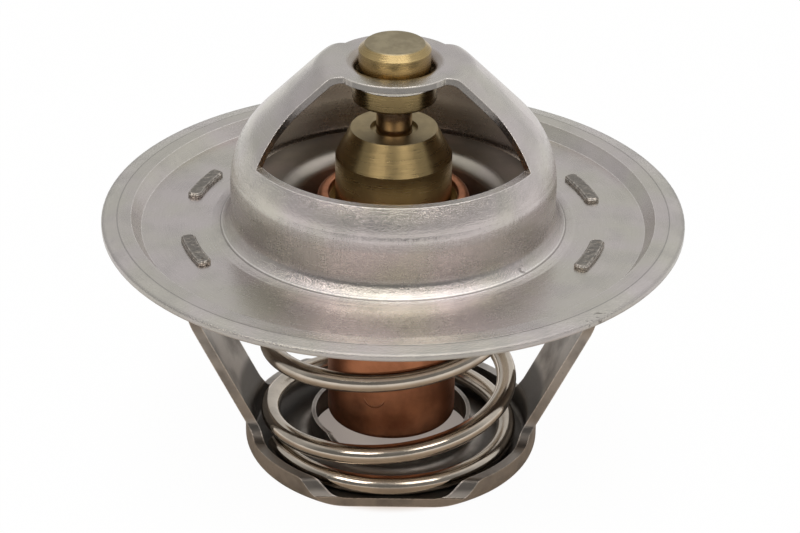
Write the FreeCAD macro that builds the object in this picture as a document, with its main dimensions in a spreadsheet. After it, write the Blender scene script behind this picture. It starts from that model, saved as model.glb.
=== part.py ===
import FreeCAD, Part
import math
import os

import Sketcher

# Engine thermostat with a flange, a wax capsule and a return spring, in millimetres.
# The origin is the bottom centre of the spring frame and +Z runs up the axis.
# The two legs of the frame lie on the X axis and the two windows of the dome face along Y.

SIZES = {
    # Flange, dome and bridge, pressed from one sheet, with rises above the rim
    "flange_diameter": 54.0,
    "sheet_gauge": 0.65,
    "rim_height": 24.95,
    "rim_round": 0.15,
    "rim_lip_width": 1.4,
    "rim_lip_drop": 0.22,
    "rim_band_width": 2.75,
    "step_width": 0.9,
    "step_drop": 1.15,
    "dome_foot_round": 1.85,
    "dome_shoulder_round": 8.4,
    "bridge_roof_width": 3.34,
    "bridge_rise": 15.05,
    "bridge_corner_rise": 6.6,
    "bridge_round": 1.2,
    "bridge_hole_diameter": 7.1,
    "bridge_hole_round": 0.35,
    "bridge_collar_depth": 1.7,
    "window_sill_rise": 7.15,
    "window_top_margin": 2.4,
    "window_top_half_width": 3.8,
    "window_elbow_depth": 5.15,
    "window_elbow_half_width": 4.2,
    "window_foot_depth": 2.75,
    "window_foot_half_width": 6.8,
    "window_elbow_round": 4.0,
    "slot_clearance": 0.06,
    # Spring frame, pressed from one sheet, with drops below the flange's inner face
    "frame_gauge": 0.9,
    "cup_margin": 1.05,
    "cup_bend": 0.4,
    "cup_wall_height": 2.5,
    "cup_flat_margin": 1.85,
    "cup_drop_lead": 0.1,
    "cup_drop_width": 0.85,
    "cup_drop_foot": 0.08,
    "cup_drop_round": 0.6,
    "cup_drop_foot_round": 0.1,
    "guide_hole_gap": 0.2,
    "guide_collar_wall": 0.4,
    "guide_collar_height": 3.4,
    "guide_collar_bend": 0.8,
    "leg_corner_height": 3.4,
    "leg_elbow_drop": 8.4,
    "leg_offset": 4.65,
    "leg_elbow_round": 8.0,
    "leg_width": 8.4,
    "leg_head_width": 19.6,
    "leg_taper_drop": 7.8,
    "leg_taper_round": 5.0,
    "leg_head_drop": 3.3,
    "leg_head_round": 2.0,
    "leg_root_round": 2.2,
    "tab_inner_angle": 12.8,
    "tab_outer_angle": 28.6,
    "tab_head_height": 0.4,
    "tab_head_overhang": 0.22,
    "tab_end_round": 0.5,
    "tab_head_bevel": 0.15,
    # Wax capsule and the parts that ride on it, each measured from the one below
    "disc_rise": 1.7,
    "disc_side_gap": 0.4,
    "disc_gauge": 0.7,
    "disc_depth": 4.25,
    "disc_bend_gap": 0.89,
    "disc_bend_round": 0.9,
    "disc_dish_gap": 1.05,
    "disc_dish_width": 1.4,
    "disc_dish_round": 0.45,
    "disc_edge_round": 0.23,
    "disc_fit_gap": 0.05,
    "capsule_diameter": 12.14,
    "capsule_wall": 0.6,
    "capsule_length": 18.9,
    "capsule_bottom_round": 0.55,
    "capsule_head_margin": 0.98,
    "capsule_head_length": 4.45,
    "capsule_lip_reach": 0.5,
    "capsule_lip_round": 0.35,
    "capsule_mouth_round": 0.2,
    "body_flange_width": 1.02,
    "body_neck_length": 3.79,
    "body_cone_length": 2.73,
    "body_crown_margin": 1.38,
    "body_flange_gap": 0.05,
    "body_mouth_diameter": 4.4,
    "body_mouth_depth": 0.35,
    "body_relief_depth": 1.2,
    "wax_thickness": 1.77,
    "sleeve_flange_thickness": 1.0,
    "sleeve_floor_gap": 3.1,
    "sleeve_end_wall": 1.6,
    # Piston and its cap
    "piston_diameter": 3.3,
    "piston_fit_gap": 0.04,
    "piston_end_gap": 0.8,
    "piston_point_length": 2.4,
    "piston_point_diameter": 1.6,
    "cap_collar_margin": 0.32,
    "cap_collar_length": 1.98,
    "cap_collar_round": 0.25,
    "cap_button_gap": 0.25,
    "cap_rise": 1.75,
    "cap_top_chamfer": 0.6,
    "cap_roof": 1.2,
    "seat_gap": 0.02,
    # Return spring
    "wire_diameter": 1.86,
    "spring_side_gap": 0.85,
    "spring_turns": 4.5,
    "spring_flat_turns": 0.33,
    "spring_ramp_turns": 0.85,
    "spring_end_angle": 200.0,
}

POINTS_PER_TURN = 16


class Size:
    """A number that remembers the spreadsheet expression it comes from."""

    def __init__(self, value, text):
        self.value = value
        self.text = text

    def join(self, other, sign, value):
        return Size(value, "(%s %s %s)" % (self.text, sign, other.text))

    def __add__(self, other):
        other = as_size(other)
        return self.join(other, "+", self.value + other.value)

    def __sub__(self, other):
        other = as_size(other)
        return self.join(other, "-", self.value - other.value)

    def __mul__(self, other):
        other = as_size(other)
        return self.join(other, "*", self.value * other.value)

    def __truediv__(self, other):
        other = as_size(other)
        return self.join(other, "/", self.value / other.value)

    def __neg__(self):
        return Size(-self.value, "(0 - %s)" % self.text)


RIGHT_ANGLE = Size(90.0, "90 deg")


def as_size(number):
    return number if isinstance(number, Size) else Size(float(number), "%.6g" % number)


def root(size):
    return Size(math.sqrt(size.value), "sqrt(%s)" % size.text)


def tangent(degrees):
    return Size(math.tan(math.radians(degrees.value)), "tan(%s)" % degrees.text)


def sine(degrees):
    return Size(math.sin(math.radians(degrees.value)), "sin(%s)" % degrees.text)


def cosine(degrees):
    return Size(math.cos(math.radians(degrees.value)), "cos(%s)" % degrees.text)


def arc_tangent(slope):
    return Size(math.degrees(math.atan(slope.value)), "atan(%s)" % slope.text)


def make_sheet(doc):
    sheet = doc.addObject("Spreadsheet::Sheet", "Sizes")
    for row, (alias, number) in enumerate(SIZES.items(), start=1):
        sheet.set("A%d" % row, alias)
        sheet.set("B%d" % row, "%.6g" % number)
        sheet.setAlias("B%d" % row, alias)
    doc.recompute()
    return sheet


def read_sizes(sheet):
    sizes = {alias: Size(float(getattr(sheet, alias)), "Sizes." + alias) for alias in SIZES}
    add_widths(sizes)
    add_heights(sizes)
    return sizes


def add_widths(s):
    """Diameters, each from the piece inside it, from the capsule out to the legs."""
    head = s["capsule_diameter"] + s["capsule_head_margin"] * 2
    flange_inset = s["capsule_wall"] + s["body_flange_gap"] + s["body_flange_width"]
    s["capsule_head_diameter"] = head
    s["body_diameter"] = head - flange_inset * 2
    s["body_top_diameter"] = s["body_diameter"] - s["body_crown_margin"] * 2
    filling_inset = s["capsule_wall"] + s["wax_thickness"]
    s["sleeve_diameter"] = s["capsule_diameter"] - filling_inset * 2
    s["guide_hole_diameter"] = head + s["guide_hole_gap"] * 2
    s["disc_dish_radius"] = head / 2 + s["disc_dish_gap"]
    s["disc_bend_radius"] = s["disc_dish_radius"] + s["disc_dish_width"]
    spring_bore = (s["disc_bend_radius"] + s["disc_bend_gap"]) * 2
    s["spring_diameter"] = spring_bore + s["wire_diameter"] * 2
    s["cup_diameter"] = s["spring_diameter"] + (s["spring_side_gap"] + s["frame_gauge"]) * 2
    s["cup_flat_half_width"] = s["cup_diameter"] / 2 - s["cup_flat_margin"]
    dome = s["cup_diameter"] + s["cup_margin"] * 2
    s["dome_diameter"] = dome
    s["disc_diameter"] = dome - (s["sheet_gauge"] + s["disc_side_gap"]) * 2
    s["leg_reach_diameter"] = dome + s["leg_offset"] * 2
    s["window_elbow_reach"] = dome / 2 - s["window_elbow_depth"]
    s["window_foot_reach"] = dome / 2 - s["window_foot_depth"]
    s["window_top_radius"] = s["bridge_hole_diameter"] / 2 + s["window_top_margin"]
    s["cap_collar_diameter"] = s["bridge_hole_diameter"] + s["cap_collar_margin"] * 2
    s["cap_button_diameter"] = s["bridge_hole_diameter"] - s["cap_button_gap"] * 2


def add_heights(s):
    """Heights above the base, each from the piece that carries it."""
    rim = s["rim_height"]
    face = rim - s["step_drop"]
    s["flange_face"] = face
    s["leg_elbow_height"] = face - s["leg_elbow_drop"]
    s["leg_taper_height"] = face - s["leg_taper_drop"]
    s["leg_head_height"] = face - s["leg_head_drop"]
    s["bridge_height"] = rim + s["bridge_rise"]
    s["bridge_corner_height"] = rim + s["bridge_corner_rise"]
    s["window_sill_height"] = rim + s["window_sill_rise"]
    s["disc_height"] = rim + s["disc_rise"]
    shoulder = s["disc_height"] - s["disc_depth"]
    s["capsule_shoulder_height"] = shoulder
    s["capsule_bottom_height"] = shoulder - s["capsule_length"]
    s["capsule_lip_height"] = shoulder + s["capsule_head_length"]
    s["body_cone_height"] = s["capsule_lip_height"] + s["body_neck_length"]
    s["body_top_height"] = s["body_cone_height"] + s["body_cone_length"]
    s["sleeve_bottom_height"] = s["capsule_bottom_height"] + s["sleeve_floor_gap"]
    sleeve_floor = s["sleeve_bottom_height"] + s["sleeve_end_wall"]
    s["piston_bottom_height"] = sleeve_floor + s["piston_end_gap"]
    s["cap_shoulder_height"] = s["bridge_height"] - s["bridge_collar_depth"] - s["seat_gap"]
    s["cap_collar_height"] = s["cap_shoulder_height"] - s["cap_collar_length"]
    s["cap_top_height"] = s["bridge_height"] + s["cap_rise"]


class Sketch:
    """One sketch of a body, drawn from corners whose places are sheet expressions."""

    def __init__(self, body, name, role, height=None):
        self.sketch = body.newObject("Sketcher::SketchObject", name)
        plane = next(f for f in body.Origin.OriginFeatures if f.Role == role)
        self.sketch.AttachmentSupport = [(plane, "")]
        self.sketch.MapMode = "FlatFace"
        if height is not None:
            self.sketch.setExpression("AttachmentOffset.Base.z", height.text)

    def add_constraint(self, kind, *values):
        return self.sketch.addConstraint(Sketcher.Constraint(kind, *values))

    def drive(self, kind, references, size):
        index = self.add_constraint(kind, *references, size.value)
        self.sketch.setExpression("Constraints[%d]" % index, size.text)

    def place(self, geometry, end, corner):
        across, up = (as_size(part) for part in corner[:2])
        for kind, size, axis in (("DistanceX", across, -2), ("DistanceY", up, -1)):
            if size.text == "0":
                self.add_constraint("PointOnObject", geometry, end, axis)
            else:
                self.drive(kind, (-1, 1, geometry, end), size)

    def outline(self, corners):
        """A closed loop of lines. A corner (x, y, radius) gets an arc tangent to its lines."""
        count = len(corners)
        points = [FreeCAD.Vector(as_size(c[0]).value, as_size(c[1]).value, 0) for c in corners]
        cuts = []
        for i, corner in enumerate(corners):
            before = (points[i - 1] - points[i]).normalize()
            after = (points[(i + 1) % count] - points[i]).normalize()
            if len(corner) == 2:
                cuts.append((points[i], points[i], None))
                continue
            half = before.getAngle(after) / 2
            reach = corner[2].value / math.tan(half)
            middle = (before + after).normalize() * (corner[2].value / math.sin(half))
            cuts.append((points[i] + before * reach, points[i] + after * reach, points[i] + middle))
        lines = []
        for i in range(count):
            start, end = cuts[i][1], cuts[(i + 1) % count][0]
            lines.append(self.sketch.addGeometry(Part.LineSegment(start, end), False))
        for i, corner in enumerate(corners):
            self.join_lines(lines[i - 1], lines[i], corner, points[i], cuts[i])
        return lines

    def join_lines(self, line, next_line, corner, point, cut):
        if len(corner) == 2:
            self.add_constraint("Coincident", line, 2, next_line, 1)
            self.place(line, 2, corner)
            return
        first, last, centre = cut
        turn = (point - first).cross(last - point).z
        arc = arc_between(first, last, centre, turn > 0)
        index = self.sketch.addGeometry(arc, False)
        arc_start, arc_end = (1, 2) if turn > 0 else (2, 1)
        self.add_constraint("Tangent", line, 2, index, arc_start)
        self.add_constraint("Tangent", index, arc_end, next_line, 1)
        self.drive("Radius", (index,), corner[2])
        mark = self.sketch.addGeometry(Part.Point(point), True)
        self.add_constraint("PointOnObject", mark, 1, line)
        self.add_constraint("PointOnObject", mark, 1, next_line)
        self.place(mark, 1, corner)


def arc_between(first, last, centre, counterclockwise):
    if not counterclockwise:
        first, last = last, first
    start, end = (math.atan2(p.y - centre.y, p.x - centre.x) for p in (first, last))
    if end < start:
        end += 2 * math.pi
    circle = Part.Circle(centre, FreeCAD.Vector(0, 0, 1), (first - centre).Length)
    return Part.ArcOfCircle(circle, start, end)


def add_body(doc, label):
    body = doc.addObject("PartDesign::Body", label)
    body.Label = label
    return body


def revolve(body, name, corners, role="XZ_Plane"):
    profile = Sketch(body, name + "_section", role)
    profile.outline(corners)
    turned = body.newObject("PartDesign::Revolution", name)
    turned.Profile = profile.sketch
    turned.ReferenceAxis = (profile.sketch, ["V_Axis"])
    turned.Angle = 360
    finish_feature(body, turned)
    return turned


def finish_feature(body, feature):
    body.Tip = feature
    body.Document.recompute()


def finish_cut(body, feature):
    """Recomputes the cut and makes sure that it really took material away."""
    before = feature.BaseFeature.Shape.Volume
    finish_feature(body, feature)
    if feature.Shape.Volume > before - 1e-6:
        raise RuntimeError("%s cuts nothing" % feature.Name)


def pocket(body, name, profile, length=None, reverse=False, through=False):
    cut = body.newObject("PartDesign::Pocket", name)
    cut.Profile = profile.sketch
    if through:
        cut.SideType = "Symmetric"
        cut.Type = "ThroughAll"
    elif length is None:
        cut.Type = "ThroughAll"
    else:
        cut.Type = "Length"
        cut.setExpression("Length", length.text)
    cut.Reversed = reverse
    finish_cut(body, cut)
    return cut


def mirror(body, name, originals, role):
    copy = body.newObject("PartDesign::Mirrored", name)
    copy.Originals = originals
    copy.MirrorPlane = (next(f for f in body.Origin.OriginFeatures if f.Role == role), [""])
    finish_feature(body, copy)
    return copy


def flange_section(s):
    """The sheet from the rim over the step, the foot, the dome and the bridge into the hole."""
    gauge = s["sheet_gauge"]
    rim = s["flange_diameter"] / 2
    top = s["rim_height"]
    band = rim - s["rim_band_width"]
    lip = rim - s["rim_lip_width"]
    lip_top = top - s["rim_lip_drop"]
    step = band - s["step_width"]
    flat = s["flange_face"]
    wall = s["dome_diameter"] / 2
    roof = s["bridge_height"]
    sill = s["bridge_corner_height"]
    hole = s["bridge_hole_diameter"] / 2
    roof_corner = hole + s["bridge_roof_width"]
    slope = arc_tangent((roof - sill) / (wall - roof_corner))
    roof_inset = gauge * tangent(slope / 2)
    wall_inset = gauge * tangent((RIGHT_ANGLE - slope) / 2)
    step_inset = gauge * tangent(step_angle(s) / 2)
    collar_end = roof - s["bridge_collar_depth"]
    under_round = s["bridge_hole_round"]
    return [
        (rim, lip_top, s["rim_round"]),
        (lip, top),
        (band, top),
        (step, flat),
        (wall, flat, s["dome_foot_round"]),
        (wall, sill, s["dome_shoulder_round"]),
        (roof_corner, roof, s["bridge_round"] + gauge),
        (hole, roof, s["bridge_hole_round"] + gauge),
        (hole, collar_end),
        (hole + gauge, collar_end),
        (hole + gauge, roof - gauge, under_round),
        (roof_corner - roof_inset, roof - gauge, s["bridge_round"]),
        (wall - gauge, sill - wall_inset, s["dome_shoulder_round"] - gauge),
        (wall - gauge, flat - gauge, s["dome_foot_round"] + gauge),
        (step + step_inset, flat - gauge),
        (band + step_inset, top - gauge),
        (lip, top - gauge),
        (rim, lip_top - gauge, s["rim_round"]),
    ]


def step_angle(s):
    """The slope of the step between the flange's inner face and its rim band."""
    return arc_tangent(s["step_drop"] / s["step_width"])


def make_flange_bridge(doc, s):
    body = add_body(doc, "flange_bridge")
    revolve(body, "sheet", flange_section(s))
    top = s["window_top_radius"]
    half = s["window_top_half_width"]
    profile = Sketch(body, "window_plan", "XY_Plane", s["window_sill_height"])
    window_plan(profile, s, top, half)
    window = pocket(body, "window", profile, reverse=True)
    mirror(body, "windows", [window], "XZ_Plane")
    slots = Sketch(body, "slot_plan", "XY_Plane")
    curved_slots(slots, s, s["slot_clearance"])
    ceiling = s["rim_height"] + s["sheet_gauge"]
    pocket(body, "slots", slots, length=ceiling, reverse=True)
    return body


def window_plan(profile, s, top, half):
    """Front window in plan: an arc at the bridge, then two flaring sides past the dome."""
    sketch = profile.sketch
    reach = root(top * top - half * half)
    beyond = s["dome_diameter"]
    elbow = (s["window_elbow_reach"], s["window_elbow_half_width"])
    foot = (s["window_foot_reach"], s["window_foot_half_width"])
    round_elbow = s["window_elbow_round"]
    corners = [
        (reach, -half),
        (elbow[0], -elbow[1], round_elbow),
        (foot[0], -foot[1]),
        (foot[0], -beyond),
        (-foot[0], -beyond),
        (-foot[0], -foot[1]),
        (-elbow[0], -elbow[1], round_elbow),
        (-reach, -half),
    ]
    lines = profile.outline(corners)
    last = lines[-1]
    sketch.toggleConstruction(last)
    start = FreeCAD.Vector(-reach.value, -half.value, 0)
    end = FreeCAD.Vector(reach.value, -half.value, 0)
    arc = arc_between(start, end, FreeCAD.Vector(), True)
    index = sketch.addGeometry(arc, False)
    profile.add_constraint("Coincident", index, 1, last, 1)
    profile.add_constraint("Coincident", index, 3, -1, 1)
    profile.add_constraint("PointOnObject", index, 2, last)


def curved_slots(profile, s, gap):
    """Four slots on the legs' circle, one for each tab."""
    outer = s["leg_reach_diameter"] / 2 + gap
    inner = s["leg_reach_diameter"] / 2 - s["frame_gauge"] - gap
    for side in (0, 180):
        for sign in (-1, 1):
            near = as_size(side) + (s["tab_inner_angle"] * sign)
            far = as_size(side) + (s["tab_outer_angle"] * sign)
            curved_slot(profile, outer, inner, near, far, gap * sign)


def curved_slot(profile, outer, inner, near, far, gap):
    """A ring sector: two arcs about the axis closed by two straight ends."""
    if near.value > far.value:
        near, far, gap = far, near, -gap
    near = near - gap * (as_size(180 / math.pi) / outer)
    far = far + gap * (as_size(180 / math.pi) / outer)
    corners = [(radius * cosine(angle), radius * sine(angle))
               for radius, angle in ((outer, near), (outer, far), (inner, far), (inner, near))]
    points = [FreeCAD.Vector(x.value, y.value, 0) for x, y in corners]
    centre = FreeCAD.Vector()
    outside = profile.sketch.addGeometry(arc_between(points[0], points[1], centre, True), False)
    inside = profile.sketch.addGeometry(arc_between(points[3], points[2], centre, True), False)
    ends = [profile.sketch.addGeometry(Part.LineSegment(points[a], points[b]), False)
            for a, b in ((1, 2), (3, 0))]
    for arc in (outside, inside):
        profile.add_constraint("Coincident", arc, 3, -1, 1)
    for pair in ((outside, 2, ends[0], 1), (ends[0], 2, inside, 2),
                 (inside, 1, ends[1], 1), (ends[1], 2, outside, 1)):
        profile.add_constraint("Coincident", *pair)
    profile.place(outside, 1, corners[0])
    profile.drive("DistanceX", (-1, 1, outside, 2), corners[1][0])
    profile.drive("DistanceX", (-1, 1, inside, 1), corners[3][0])
    for end in ends:
        profile.add_constraint("PointOnObject", -1, 1, end)


def leg_lean(s):
    """Angle of the sloping part of a leg from the vertical."""
    run = (s["leg_reach_diameter"] - s["cup_diameter"]) / 2
    return arc_tangent(run / (s["leg_elbow_height"] - s["leg_corner_height"]))


def frame_section(s):
    """The sheet from the guide collar over the base and the cup wall up one leg."""
    gauge = s["frame_gauge"]
    hole = s["guide_hole_diameter"] / 2
    collar = hole + s["guide_collar_wall"]
    collar_top = s["guide_collar_height"]
    cup = s["cup_diameter"] / 2
    leg = s["leg_reach_diameter"] / 2
    top = s["flange_face"] - s["sheet_gauge"] - s["seat_gap"]
    rise = gauge * tangent(leg_lean(s) / 2)
    bend = s["cup_bend"]
    elbow = s["leg_elbow_round"]
    return [
        (hole, collar_top),
        (hole, 0, s["guide_collar_bend"] + gauge),
        (cup, 0, bend + gauge),
        (cup, s["leg_corner_height"], gauge),
        (leg, s["leg_elbow_height"], elbow),
        (leg, top),
        (leg - gauge, top),
        (leg - gauge, s["leg_elbow_height"] + rise, elbow - gauge),
        (cup - gauge, s["leg_corner_height"] + rise, gauge + gauge),
        (cup - gauge, gauge, bend),
        (collar, gauge, s["guide_collar_bend"]),
        (collar, collar_top),
    ]


def frame_side_cut(profile, s, side):
    """Everything beside one edge of the frame, seen along X: base, cup wall, leg and head."""
    flat = s["cup_flat_half_width"]
    above = s["flange_face"] + s["flange_diameter"]
    below = -s["frame_gauge"]
    beyond = s["flange_diameter"]
    sill = s["frame_gauge"] + s["cup_drop_foot"]
    leg = s["leg_width"] / 2
    head = s["leg_head_width"] / 2
    wall = s["cup_wall_height"]
    lead = s["cup_drop_lead"]
    edge = [
        (flat, below),
        (flat, sill),
        (flat - lead, sill, s["cup_drop_foot_round"]),
        (flat - lead - s["cup_drop_width"], wall, s["cup_drop_round"]),
        (leg, wall, s["leg_root_round"]),
        (leg, s["leg_taper_height"], s["leg_taper_round"]),
        (head, s["leg_head_height"], s["leg_head_round"]),
        (head, above),
        (beyond, above),
        (beyond, below),
    ]
    profile.outline([(corner[0] * side, *corner[1:]) for corner in edge])


def pad(body, name, profile, length):
    raised = body.newObject("PartDesign::Pad", name)
    raised.Profile = profile.sketch
    raised.setExpression("Length", length.text)
    finish_feature(body, raised)
    return raised


def make_lower_frame(doc, s):
    body = add_body(doc, "lower_frame")
    revolve(body, "sheet", frame_section(s), "YZ_Plane")
    sides = Sketch(body, "side_plan", "YZ_Plane")
    for side in (-1, 1):
        frame_side_cut(sides, s, side)
    pocket(body, "sides", sides, through=True)
    root_height = s["flange_face"] - s["sheet_gauge"] * 2
    tabs = Sketch(body, "tab_plan", "XY_Plane", root_height)
    curved_slots(tabs, s, as_size(0))
    pad(body, "tabs", tabs, s["sheet_gauge"] * 2 + s["tab_head_height"])
    heads = Sketch(body, "head_plan", "XY_Plane", s["flange_face"] + s["seat_gap"])
    curved_slots(heads, s, s["tab_head_overhang"])
    head = pad(body, "heads", heads, s["tab_head_height"] - s["seat_gap"])
    ends = round_edges(body, "head_ends", head, s["tab_end_round"], is_head_corner(s))
    bevel_edges(body, "head_bevels", ends, s["tab_head_bevel"], is_head_rim(s))
    return body


def is_head_rim(s):
    top = (s["flange_face"] + s["tab_head_height"]).value

    def test(edge):
        box = edge.BoundBox
        return abs(box.ZMin - top) < 1e-4 and abs(box.ZMax - top) < 1e-4
    return test


def is_head_corner(s):
    base = (s["flange_face"] + s["seat_gap"]).value
    top = (s["flange_face"] + s["tab_head_height"]).value

    def test(edge):
        box = edge.BoundBox
        return abs(box.ZMin - base) < 1e-4 and abs(box.ZMax - top) < 1e-4
    return test


def round_edges(body, name, feature, size, test):
    edges = ["Edge%d" % (i + 1) for i, edge in enumerate(feature.Shape.Edges) if test(edge)]
    rounding = body.newObject("PartDesign::Fillet", name)
    rounding.Base = (feature, edges)
    rounding.setExpression("Radius", size.text)
    finish_cut(body, rounding)
    return rounding


def bevel_edges(body, name, feature, size, test):
    edges = ["Edge%d" % (i + 1) for i, edge in enumerate(feature.Shape.Edges) if test(edge)]
    bevel = body.newObject("PartDesign::Chamfer", name)
    bevel.Base = (feature, edges)
    bevel.setExpression("Size", size.text)
    finish_cut(body, bevel)
    return bevel


def make_valve_disc(doc, s):
    body = add_body(doc, "valve_disc")
    gauge = s["disc_gauge"]
    rim = s["disc_diameter"] / 2
    top = s["disc_height"]
    low = s["capsule_shoulder_height"] - s["seat_gap"]
    bend = s["disc_bend_radius"]
    dish = s["disc_dish_radius"]
    bore = s["capsule_diameter"] / 2 + s["disc_fit_gap"]
    steep = arc_tangent((top - low) / (bend - dish))
    shift = gauge * tangent(steep / 2)
    outer_bend = s["disc_bend_round"]
    inner_bend = s["disc_dish_round"]
    edge = s["disc_edge_round"]
    revolve(body, "sheet", [
        (rim, top, edge),
        (bend, top, outer_bend + gauge),
        (dish, low, inner_bend),
        (bore, low),
        (bore, low - gauge),
        (dish + shift, low - gauge, inner_bend + gauge),
        (bend + shift, top - gauge, outer_bend),
        (rim, top - gauge, edge),
    ])
    return body


def make_capsule_cup(doc, s):
    body = add_body(doc, "capsule_cup")
    wall = s["capsule_wall"]
    radius = s["capsule_diameter"] / 2
    head = s["capsule_head_diameter"] / 2
    bottom = s["capsule_bottom_height"]
    shoulder = s["capsule_shoulder_height"]
    lip = s["capsule_lip_height"]
    mouth = head - wall - s["capsule_lip_reach"]
    soft = s["capsule_lip_round"]
    revolve(body, "shell", [
        (0, bottom),
        (radius, bottom, s["capsule_bottom_round"]),
        (radius, shoulder),
        (head, shoulder, soft),
        (head, lip, wall),
        (mouth, lip, s["capsule_mouth_round"]),
        (mouth, lip - wall),
        (head - wall, lip - wall),
        (head - wall, shoulder + wall),
        (radius - wall, shoulder + wall),
        (radius - wall, bottom + wall, soft),
        (0, bottom + wall),
    ])
    return body


def sleeve_flange_top(s):
    floor = s["capsule_shoulder_height"] + s["capsule_wall"] + s["seat_gap"]
    return floor + s["sleeve_flange_thickness"]


def make_guide_body(doc, s):
    body = add_body(doc, "guide_body")
    flange = s["capsule_head_diameter"] / 2 - s["capsule_wall"] - s["body_flange_gap"]
    bottom = sleeve_flange_top(s) + s["seat_gap"]
    flange_top = s["capsule_lip_height"] - s["capsule_wall"] - s["seat_gap"]
    radius = s["body_diameter"] / 2
    crown = s["body_top_diameter"] / 2
    top = s["body_top_height"]
    bore = s["piston_diameter"] / 2 + s["piston_fit_gap"]
    mouth = s["body_mouth_diameter"] / 2
    relief = s["body_relief_depth"]
    groove_edge = flange - s["capsule_lip_reach"]
    revolve(body, "turning", [
        (bore, bottom),
        (flange, bottom),
        (flange, flange_top),
        (groove_edge, flange_top),
        (groove_edge, flange_top - relief),
        (radius, flange_top - relief),
        (radius, s["body_cone_height"]),
        (crown, top),
        (mouth, top),
        (mouth, top - s["body_mouth_depth"]),
        (bore, top - s["body_mouth_depth"]),
    ])
    return body


def make_rubber_sleeve(doc, s):
    body = add_body(doc, "rubber_sleeve")
    flange = s["capsule_head_diameter"] / 2 - s["capsule_wall"] - s["body_flange_gap"]
    floor = s["capsule_shoulder_height"] + s["capsule_wall"] + s["seat_gap"]
    radius = s["sleeve_diameter"] / 2
    bottom = s["sleeve_bottom_height"]
    bore = s["piston_diameter"] / 2 + s["piston_fit_gap"]
    soft = s["capsule_bottom_round"]
    revolve(body, "moulding", [
        (0, bottom),
        (radius, bottom, soft),
        (radius, floor),
        (flange, floor),
        (flange, sleeve_flange_top(s)),
        (bore, sleeve_flange_top(s)),
        (bore, bottom + s["sleeve_end_wall"]),
        (0, bottom + s["sleeve_end_wall"]),
    ])
    return body


def make_wax_charge(doc, s):
    body = add_body(doc, "wax_charge")
    gap = s["seat_gap"]
    radius = s["capsule_diameter"] / 2 - s["capsule_wall"] - gap
    inner = s["sleeve_diameter"] / 2 + gap
    bottom = s["capsule_bottom_height"] + s["capsule_wall"] + gap
    top = s["capsule_shoulder_height"] + s["capsule_wall"]
    under_sleeve = s["sleeve_bottom_height"] - gap
    revolve(body, "filling", [
        (0, bottom),
        (radius, bottom, s["capsule_lip_round"]),
        (radius, top),
        (inner, top),
        (inner, under_sleeve),
        (0, under_sleeve),
    ])
    return body


def make_piston(doc, s):
    body = add_body(doc, "piston")
    radius = s["piston_diameter"] / 2
    bottom = s["piston_bottom_height"]
    top = s["cap_top_height"] - s["cap_roof"] - s["seat_gap"]
    revolve(body, "rod", [
        (0, bottom),
        (s["piston_point_diameter"] / 2, bottom),
        (radius, bottom + s["piston_point_length"]),
        (radius, top),
        (0, top),
    ])
    return body


def make_piston_cap(doc, s):
    body = add_body(doc, "piston_cap")
    collar = s["cap_collar_diameter"] / 2
    button = s["cap_button_diameter"] / 2
    bottom = s["cap_collar_height"]
    shoulder = s["cap_shoulder_height"]
    top = s["cap_top_height"]
    bore = s["piston_diameter"] / 2 + s["seat_gap"]
    edge = s["cap_top_chamfer"]
    soft = s["cap_collar_round"]
    revolve(body, "turning", [
        (bore, bottom),
        (collar, bottom, soft),
        (collar, shoulder, soft),
        (button, shoulder),
        (button, top - edge),
        (button - edge, top),
        (0, top),
        (0, top - s["cap_roof"]),
        (bore, top - s["cap_roof"]),
    ])
    return body


def spring_height(s, turn):
    """Height of the wire's centre at a turn: flat ends, and an even pitch between two ramps."""
    wire = s["wire_diameter"].value
    low = (s["frame_gauge"] + s["seat_gap"]).value + wire / 2
    high = (s["disc_height"] - s["disc_gauge"] - s["seat_gap"]).value - wire / 2
    flat, ramp, turns = (s[name].value for name in
                         ("spring_flat_turns", "spring_ramp_turns", "spring_turns"))
    working = turns - 2 * flat
    pitch = (high - low) / (working - ramp)

    def climb(t):
        t = max(0.0, t)
        return pitch * t * t / (2 * ramp) if t < ramp else pitch * (t - ramp / 2)
    if turn < turns / 2:
        return low + climb(turn - flat)
    return high - climb(turns - turn - flat)


def make_main_spring(doc, s):
    """A wire swept along a right-handed coil whose end turns lie flat on their seats."""
    turns = s["spring_turns"].value
    radius = (s["spring_diameter"].value - s["wire_diameter"].value) / 2
    steps = int(math.ceil(turns * POINTS_PER_TURN))
    points = []
    for i in range(steps + 1):
        turn = turns * i / steps
        angle = math.radians(s["spring_end_angle"].value) + 2 * math.pi * turn
        points.append(FreeCAD.Vector(radius * math.cos(angle), radius * math.sin(angle),
                                     spring_height(s, turn)))
    path = Part.BSplineCurve()
    path.interpolate(points)
    start = path.value(path.FirstParameter)
    along = path.tangent(path.FirstParameter)[0]
    section = Part.Circle(start, along, s["wire_diameter"].value / 2)
    spine = Part.Wire([path.toShape()])
    coil = spine.makePipeShell([Part.Wire([section.toShape()])], True, True)
    spring = doc.addObject("Part::Feature", "main_spring")
    spring.Label = "main_spring"
    spring.Shape = coil
    return spring


def check_pieces(doc, pieces):
    for obj in doc.Objects:
        if "Invalid" in obj.State or "Error" in obj.State:
            raise RuntimeError("%s failed: %s" % (obj.Name, obj.State))
    for piece in pieces:
        shape = piece.Shape
        if shape.isNull() or not shape.isValid() or len(shape.Solids) != 1:
            raise RuntimeError("%s is not one valid solid" % piece.Label)


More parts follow.
